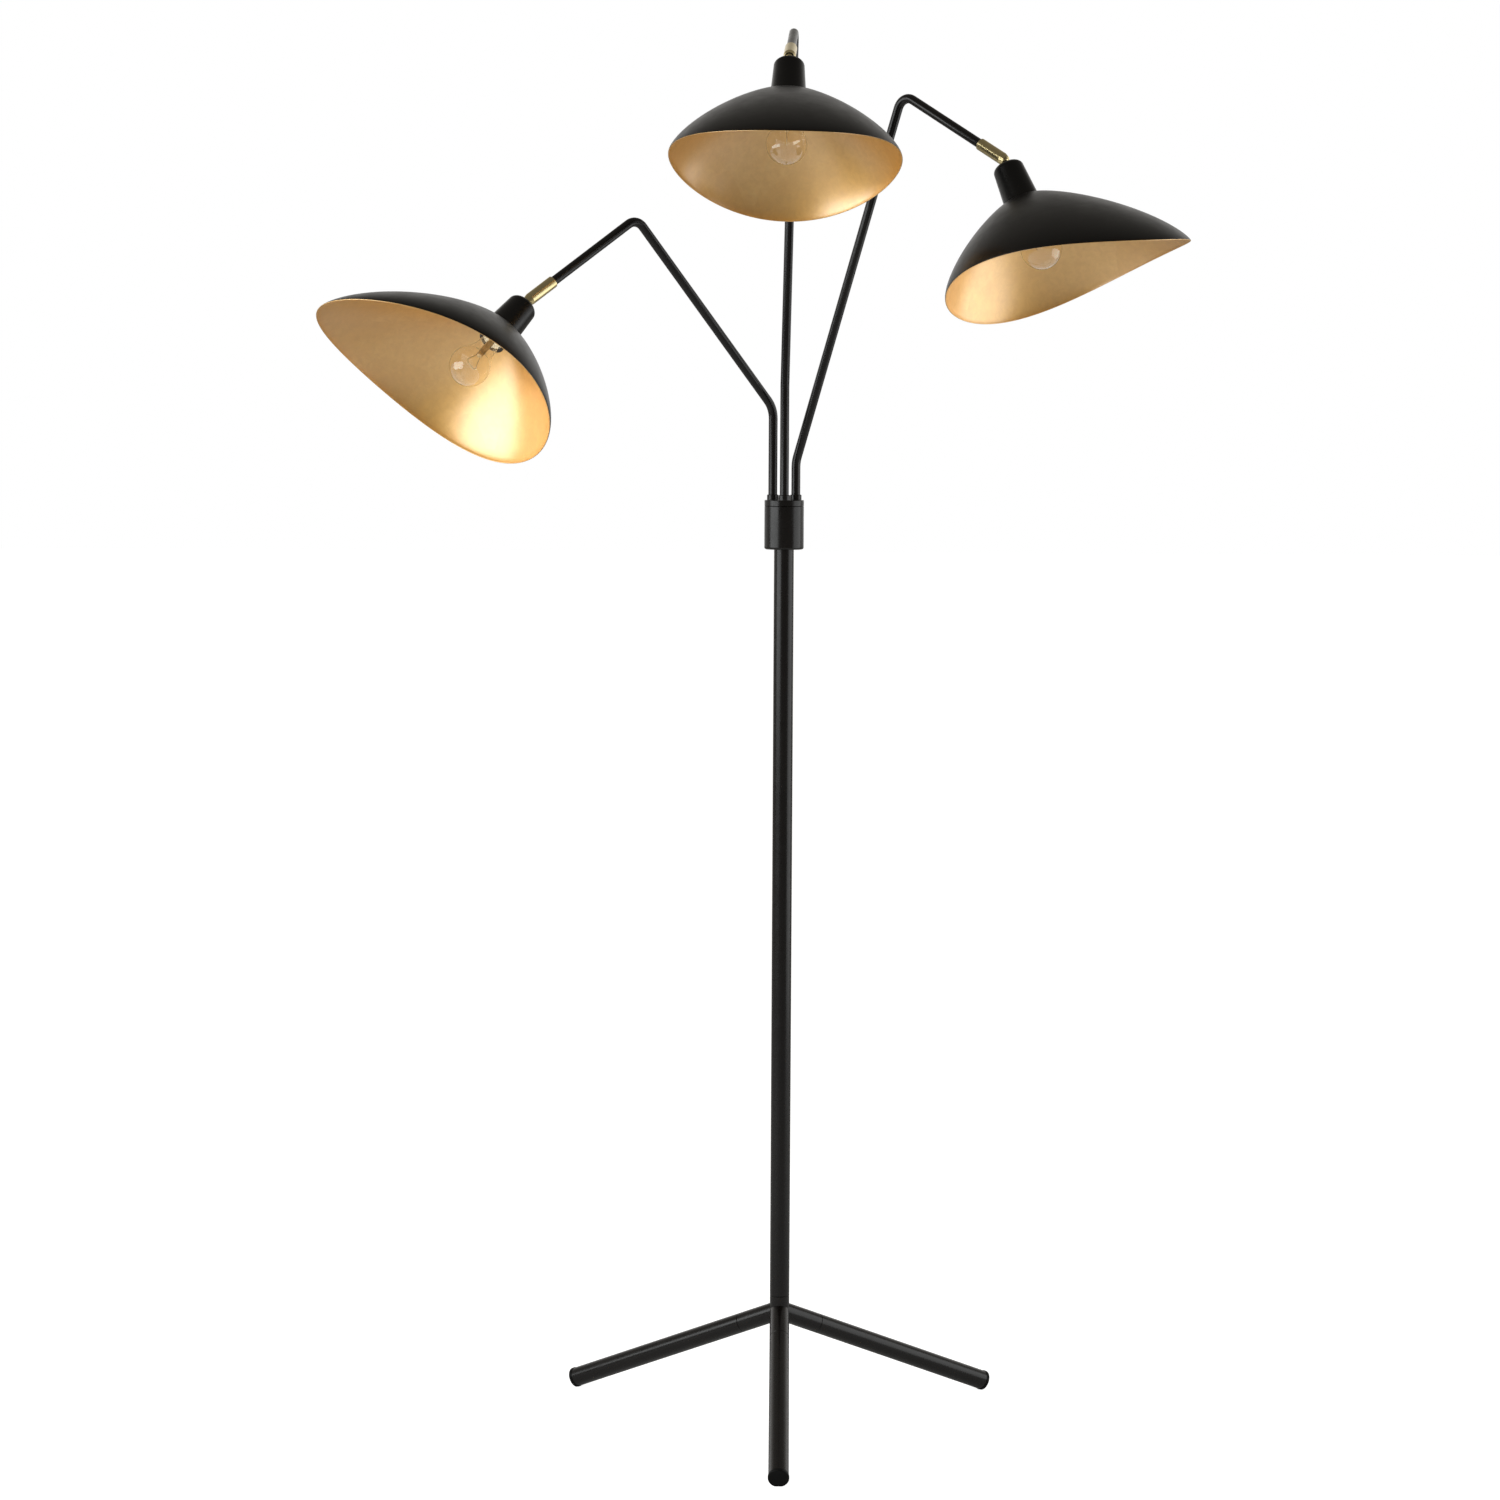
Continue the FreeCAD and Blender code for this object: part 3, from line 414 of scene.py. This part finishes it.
def wandering_place(finish):
    """Place in the head, pushed about a little so that straight edges wander."""
    spread = finish.node("ShaderNodeCombineXYZ")
    askew = finish.turned(finish.place, LEAF_ASKEW)
    finish.link(finish.noise(22.0, detail=3.0), spread.inputs["X"])
    finish.link(finish.noise(19.0, detail=3.0, place=askew), spread.inputs["Y"])
    offset = finish.node("ShaderNodeVectorMath", operation="SCALE")
    offset.inputs["Scale"].default_value = LEAF_WANDER
    finish.link(spread.outputs[0], offset.inputs[0])
    moved = finish.node("ShaderNodeVectorMath", operation="ADD")
    finish.link(finish.place, moved.inputs[0])
    finish.link(offset.outputs[0], moved.inputs[1])
    return moved.outputs[0]


def gold_leaf():
    """Square leaves laid edge over edge, each a little different, with fine wrinkles."""
    finish = Finish("gold_leaf", in_head=True)
    leaves = finish.node("ShaderNodeTexVoronoi", distance="CHEBYCHEV", feature="F1")
    leaves.inputs["Scale"].default_value = LEAF_SCALE
    leaves.inputs["Randomness"].default_value = LEAF_SCATTER
    turned = finish.turned(wandering_place(finish), (0, 0, math.radians(LEAF_TURN)))
    finish.link(turned, leaves.inputs["Vector"])
    leaf = finish.node("ShaderNodeSeparateXYZ")
    finish.link(leaves.outputs["Color"], leaf.inputs[0])
    each = finish.ramp(leaf.outputs["X"], (0.0, 0.5, 1.0), LEAF_TONES)
    mottle = finish.noise(130.0, detail=8.0, rough=0.68, distortion=0.6)
    patchy = finish.mix(finish.ramp(mottle, (0.35, 0.72), (0.0, 0.70)), each, LEAF_RUBBED)
    worn = finish.ramp(finish.noise(36.0, detail=7.0, rough=0.7), (0.60, 0.74), (0.0, 0.35))
    finish.colour(finish.mix(worn, patchy, LEAF_WORN))
    finish.roughness(finish.noise(90.0, detail=7.0, rough=0.7), (0.25, 0.8), (0.46, 0.60))
    wrinkle = finish.noise(210.0, detail=8.0, rough=0.72, distortion=1.2)
    seam = finish.ramp(leaves.outputs["Distance"], (0.44, 0.5), (0.0, 1.0))
    finish.relief((wrinkle, 0.00016, 0.5), (seam, 0.00003, 0.4))
    finish.set(Metallic=1.0, Coat_Weight=1.0, Coat_Roughness=0.34, Coat_IOR=2.6)
    return finish.material


def brass():
    """Polished brass that has begun to dull, with faint drawing lines."""
    finish = Finish("aged_brass")
    cloud = finish.noise(70.0, detail=6.0, rough=0.65)
    finish.colour(finish.ramp(cloud, (0.25, 0.55, 0.85), BRASS_TONES))
    finish.roughness(finish.noise(160.0, detail=6.0, rough=0.7), (0.25, 0.8), (0.20, 0.26))
    finish.relief((finish.noise(300.0, detail=2.0, rough=0.5), 0.00001, 0.06))
    finish.set(Metallic=1.0)
    return finish.material


def moulded(name, colour, gloss, shine):
    """Moulded black plastic or rubber with a fine spark-eroded grain."""
    finish = Finish(name)
    cloud = finish.noise(40.0, detail=5.0)
    finish.colour(finish.ramp(cloud, (0.3, 0.8), (colour, scaled(colour, 1.7))))
    rubbed = finish.noise(300.0, detail=4.0)
    finish.roughness(rubbed, (0.3, 0.8), (gloss - 0.06, gloss + 0.1))
    finish.relief((finish.noise(1800.0, detail=3.0), 0.00003, 0.6))
    finish.set(Specular_IOR_Level=shine)
    return finish.material


def plated(name, colour, gloss):
    """Plated or plain metal with fine scratches."""
    finish = Finish(name)
    cloud = finish.noise(150.0, detail=6.0, rough=0.65)
    finish.colour(finish.ramp(cloud, (0.3, 0.75), (scaled(colour, 0.72), colour)))
    rubbed = finish.noise(400.0, detail=5.0)
    finish.roughness(rubbed, (0.3, 0.8), (gloss - 0.05, gloss + 0.12))
    finish.relief((finish.noise(900.0, detail=4.0), 0.00002, 0.5))
    finish.set(Metallic=1.0)
    return finish.material


def clear_glass():
    """Blown glass with slow waves."""
    finish = Finish("bulb_glass")
    finish.colour(finish.ramp(finish.noise(30.0, detail=2.0), (0.3, 0.8), GLASS_TONES))
    finish.relief((finish.noise(45.0, detail=2.0), 0.0001, 0.2))
    finish.set(Roughness=0.0, IOR=1.48, Transmission_Weight=1.0)
    return finish.material


def cold_wire():
    """Unlit filament on its stem: dull wire with a warm tarnish."""
    finish = Finish("filament_wire")
    finish.colour(finish.ramp(finish.noise(200.0, detail=2.0), (0.3, 0.8), WIRE_TONES))
    finish.roughness(finish.noise(600.0, detail=3.0), (0.3, 0.8), (0.30, 0.45))
    finish.set(Metallic=0.5)
    return finish.material


# ---------------------------------------------------------------- shades
def shade_point(t, angle):
    """Outer surface in the head's frame: t runs from the seat (0) to the rim (1)."""
    half_length = SHADE_SEAT_R + (SHADE_LENGTH / 2 - SHADE_SEAT_R) * t
    half_width = SHADE_SEAT_R + (SHADE_WIDTH / 2 - SHADE_SEAT_R) * t
    rim_x = SHADE_OFFSET + SHADE_LENGTH / 2 * math.cos(angle)
    lean = math.tan(math.radians(SHADE_RIM_TILT)) * rim_x
    drop = SHADE_DEPTH + lean + SHADE_RIM_BOW * math.cos(angle) ** 2
    rise = 1 - (1 - t ** SHADE_RISE_POWER) ** (1 / SHADE_WALL_POWER)
    x = SHADE_OFFSET * t + half_length * math.cos(angle)
    y = half_width * math.sin(angle)
    return Vector((x, y, -SEAT_DROP - drop * rise))


def shade_along(t, angle):
    """Direction round the shade, not to scale."""
    return shade_point(t, angle + SLOPE_STEP) - shade_point(t, angle - SLOPE_STEP)


def shade_normal(t, angle):
    """Outward direction of the outer surface."""
    lower = shade_point(min(t + SLOPE_STEP, 1), angle)
    upper = shade_point(max(t - SLOPE_STEP, 0), angle)
    return (lower - upper).cross(shade_along(t, angle)).normalized()


def rim_point(angle, turn):
    """Point on the half round that closes the sheet's edge, turned in from outside."""
    half = SHADE_SHEET / 2
    normal = shade_normal(1, angle)
    down = shade_along(1, angle).cross(normal).normalized()
    middle = shade_point(1, angle) - normal * half
    return middle + normal * half * math.cos(turn) + down * half * math.sin(turn)


def inner_point(t, angle):
    """Point of the inner skin, one sheet's thickness in from the outer one."""
    outward = shade_normal(t, angle) if t else Vector((0, 0, 1))
    return shade_point(t, angle) - outward * SHADE_SHEET


def make_shade(side, outside, inside):
    """Edge of the socket hole, outer skin, rolled rim and inner skin."""
    angles = [TURN * i / SHADE_AROUND for i in range(SHADE_AROUND)]
    steps = [math.sin(QUARTER * k / SHADE_DOWN) for k in range(SHADE_DOWN + 1)]
    levels = [step ** SHADE_RING_POWER for step in steps]
    hole = [azimuth(math.degrees(a)) * SHADE_HOLE_R - Vector((0, 0, SEAT_DROP)) for a in angles]
    rows = [hole] + [[shade_point(t, a) for a in angles] for t in levels]
    outer_rows = len(rows)
    turns = [math.pi * k / RIM_STEPS for k in range(1, RIM_STEPS)]
    rows += [[rim_point(a, turn) for a in angles] for turn in turns]
    rows += [[inner_point(t, a) for a in angles] for t in reversed(levels)]
    rows.append([p - Vector((0, 0, SHADE_SHEET)) for p in hole])
    points = [p for row in rows for p in row]
    faces = ring_faces(len(rows), SHADE_AROUND)
    slots = [0 if face // SHADE_AROUND < outer_rows else 1 for face in range(len(faces))]
    piece = make_piece("shade_skin_" + side, points, faces, [outside, inside],
                       head_matrix(side), slots, RIM_SHARP_ANGLE)
    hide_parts("shade_" + side)
    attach(piece, "head_" + side)


# ---------------------------------------------------------------- cup and bulb
def make_cup(side, finish):
    """Domed cup with a thin wall, a rounded shoulder and a small bead at its base."""
    top = -CUP_DROP
    shoulder = top - CUP_DOME
    base = -SEAT_DROP + CUP_BASE_LIFT
    profile = [(CUP_HOLE_R, top), (CUP_CROWN_MID[0], top - CUP_CROWN_MID[1])]
    for k in range(CUP_DOME_STEPS + 1):
        angle = QUARTER * k / CUP_DOME_STEPS
        reach = (CUP_SHOULDER_R - CUP_TOP_R) * math.sin(angle)
        fall = (CUP_DOME - CUP_CROWN) * (1 - math.cos(angle))
        profile.append((CUP_TOP_R + reach, top - CUP_CROWN - fall))
    bead = (CUP_BASE_R - CUP_BEAD_R, base + CUP_BEAD_R)
    profile += arc(bead, CUP_BEAD_R, CUP_BEAD_START, -90, CUP_BEAD_STEPS)
    profile += [(CUP_BASE_R - CUP_WALL, base), (CUP_SHOULDER_R - CUP_WALL, shoulder)]
    profile += [(CUP_TOP_R, shoulder + CUP_ROOF), (CUP_HOLE_R, shoulder + CUP_ROOF_MIDDLE)]
    piece = lathe("cup_shell_" + side, profile, finish, head_matrix(side))
    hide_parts("cup_" + side)
    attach(piece, "head_" + side)


def bulb_skin(radius, neck):
    """Profile of one skin of the glass: straight neck, hollow curve and globe."""
    shoulder = math.radians(BULB_SHOULDER)
    start = Vector((neck, -BASE_OPEN_DROP - BULB_NECK_LENGTH))
    meet = Vector((radius * math.sin(shoulder), -BULB_CENTRE_DROP + radius * math.cos(shoulder)))
    chord = (meet - start).normalized()
    hollow = (start + meet) / 2 + Vector((chord.y, -chord.x)) * BULB_NECK_HOLLOW * 2
    points = [(neck, -BASE_OPEN_DROP)]
    for k in range(BULB_NECK_STEPS + 1):
        t = k / BULB_NECK_STEPS
        p = start * (1 - t) ** 2 + hollow * (2 * t * (1 - t)) + meet * t ** 2
        points.append((p.x, p.y))
    for k in range(1, BULB_GLOBE_STEPS + 1):
        angle = math.radians(BULB_SHOULDER + (180 - BULB_SHOULDER) * k / BULB_GLOBE_STEPS)
        reach = max(radius * math.sin(angle), BULB_TIP_R)
        points.append((reach, -BULB_CENTRE_DROP + radius * math.cos(angle)))
    return points


def make_bulb_glass(side, finish):
    """Globe on a neck, blown thin: outer and inner skin."""
    outer = bulb_skin(BULB_R, BULB_NECK_R)
    inner = bulb_skin(BULB_R - BULB_GLASS, BULB_NECK_R - BULB_GLASS)
    piece = lathe("globe_" + side, outer + inner[::-1], finish, head_matrix(side))
    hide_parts("bulb_glass_" + side)
    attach(piece, "head_" + side)


# ---------------------------------------------------------------- stage
def make_camera():
    """Camera at the photograph's place and angle."""
    pitch = math.radians(CAMERA_PITCH)
    yaw = math.radians(CAMERA_YAW)
    roll = math.radians(CAMERA_ROLL)
    level_ahead = Vector((math.sin(yaw), math.cos(yaw), 0))
    ahead = level_ahead * math.cos(pitch) + Vector((0, 0, math.sin(pitch)))
    level_right = Vector((math.cos(yaw), -math.sin(yaw), 0))
    level_up = level_right.cross(ahead)
    right = level_right * math.cos(roll) + level_up * math.sin(roll)
    up = level_up * math.cos(roll) - level_right * math.sin(roll)
    data = bpy.data.cameras.new("camera")
    data.sensor_width = SENSOR
    data.lens = FOCAL_PIXELS / IMAGE_SIZE * SENSOR
    camera = bpy.data.objects.new("camera", data)
    turn = Matrix((right, up, -ahead)).transposed().to_4x4()
    camera.matrix_world = Matrix.Translation(Vector(CAMERA_PLACE)) @ turn
    bpy.context.scene.collection.objects.link(camera)
    bpy.context.scene.camera = camera


def background_factor(nodes, mirrored):
    """1 where the camera sees white, also through glass, and a share of that in gloss."""
    path = nodes.node("ShaderNodeLightPath")
    through = path.outputs["Is Transmission Ray"]
    direct = nodes.math("MAXIMUM", path.outputs["Is Camera Ray"], through)
    gloss = nodes.math("MULTIPLY", path.outputs["Is Glossy Ray"], mirrored)
    return nodes.math("MAXIMUM", direct, gloss)


def make_world():
    """White backdrop; the room is pale behind the lamp and dim behind the camera."""
    world = bpy.data.worlds.new("studio")
    bpy.context.scene.world = world
    world.use_nodes = True
    world.node_tree.nodes.clear()
    nodes = Nodes(world.node_tree)
    split = nodes.node("ShaderNodeSeparateXYZ")
    nodes.link(nodes.node("ShaderNodeTexCoord").outputs["Generated"], split.inputs[0])
    behind = nodes.map_range(split.outputs["Y"], ROOM_FRONT, ROOM_BACK, 0.0, 1.0)
    low = nodes.map_range(split.outputs["Z"], ROOM_LOW, ROOM_HIGH, 1.0, ROOM_TOP)
    share = nodes.math("MULTIPLY", behind, low)
    room = nodes.node("ShaderNodeBackground")
    nodes.feed(room.inputs["Color"], ROOM_COLOUR)
    nodes.link(nodes.map_range(share, 0.0, 1.0, ROOM_DIM, ROOM_BRIGHT), room.inputs["Strength"])
    white = nodes.node("ShaderNodeBackground")
    nodes.feed(white.inputs["Color"], WHITE)
    nodes.feed(white.inputs["Strength"], 1.0)
    blend = nodes.node("ShaderNodeMixShader")
    nodes.link(background_factor(nodes, share), blend.inputs[0])
    nodes.link(room.outputs[0], blend.inputs[1])
    nodes.link(white.outputs[0], blend.inputs[2])
    nodes.link(blend.outputs[0], nodes.node("ShaderNodeOutputWorld").inputs[0])


def make_floor():
    """Plain pale floor that keeps a faint shadow."""
    corners = ((-1, -1), (1, -1), (1, 1), (-1, 1))
    mesh = bpy.data.meshes.new("floor")
    mesh.from_pydata([(x * FLOOR_HALF, y * FLOOR_HALF, 0) for x, y in corners], [], [(0, 1, 2, 3)])
    floor = bpy.data.objects.new("floor", mesh)
    bpy.context.scene.collection.objects.link(floor)
    material = bpy.data.materials.new("floor_white")
    material.use_nodes = True
    material.node_tree.nodes.clear()
    nodes = Nodes(material.node_tree)
    matt = nodes.node("ShaderNodeBsdfDiffuse")
    nodes.feed(matt.inputs["Color"], FLOOR_TONE)
    glow = nodes.node("ShaderNodeEmission")
    seen = background_factor(nodes, FLOOR_MIRRORED)
    nodes.link(nodes.math("MULTIPLY", seen, FLOOR_GLOW), glow.inputs["Strength"])
    both = nodes.node("ShaderNodeAddShader")
    nodes.link(matt.outputs[0], both.inputs[0])
    nodes.link(glow.outputs[0], both.inputs[1])
    nodes.link(both.outputs[0], nodes.node("ShaderNodeOutputMaterial").inputs[0])
    mesh.materials.append(material)


def make_light(name, place, aim, width, height, power, colour):
    """Rectangular panel of light, turned towards its aim."""
    data = bpy.data.lights.new(name, "AREA")
    data.shape = "RECTANGLE"
    data.size = width
    data.size_y = height
    data.energy = power
    data.color = colour
    light = bpy.data.objects.new(name, data)
    light.location = place
    ahead = Vector(aim) - Vector(place)
    light.rotation_euler = ahead.to_track_quat("-Z", "Y").to_euler()
    bpy.context.scene.collection.objects.link(light)


# ---------------------------------------------------------------- put together
bpy.context.scene.view_settings.view_transform = "Standard"
make_camera()
make_world()
make_floor()
for light_name, light in LIGHTS.items():
    make_light(light_name, **light)

STAND_PAINT = paint("stand_paint", STAND_TONES, gloss=0.26, coat=0.12, shine=0.33)
CUP_PAINT = paint("cup_paint", CUP_TONES, gloss=0.30, coat=0.10, shine=0.25)
SHADE_PAINT = shade_paint()
GOLD = gold_leaf()
BRASS = brass()
PLUG = moulded("plug_rubber", PLUG_BLACK, gloss=0.52, shine=0.15)
PLASTIC = moulded("socket_plastic", PLASTIC_BLACK, gloss=0.38, shine=0.5)
CABLE = moulded("cable_rubber", CABLE_BLACK, gloss=0.5, shine=0.5)
STEEL = plated("plain_steel", STEEL_GREY, gloss=0.32)
BASE_METAL = plated("base_plating", BASE_YELLOW, gloss=0.22)
GLASS = clear_glass()
WIRE = cold_wire()

# The first of these that a node's name starts with gives its finish.
NODE_FINISH = {
    "hub": STAND_PAINT, "leg_studs": STEEL, "leg_": STAND_PAINT, "pole_tube": STAND_PAINT,
    "pole_nipples": STEEL, "pole_cable": CABLE, "cord_bushing": PLASTIC, "foot_plug": PLUG,
    "collar_nut": STEEL, "collar_": STAND_PAINT, "terminal_block": PLASTIC,
    "arm_washers": PLASTIC, "arm_lock_ring": STEEL, "arm_lead": CABLE, "arm_": STAND_PAINT,
    "sleeve": BRASS, "ball_stud": BRASS, "cup_screws": STEEL, "cup_": CUP_PAINT,
    "shade_ring": PLASTIC, "shade_": SHADE_PAINT, "lamp_socket": PLASTIC,
    "bulb_base": BASE_METAL, "bulb_glass": GLASS, "bulb_filament": WIRE,
}
for node_name, node in NODES.items():
    key = next(start for start in NODE_FINISH if node_name.startswith(start))
    node.data.materials.clear()
    node.data.materials.append(NODE_FINISH[key])

for side in SIDES:
    make_shade(side, SHADE_PAINT, GOLD)
    make_cup(side, CUP_PAINT)
    make_bulb_glass(side, GLASS)
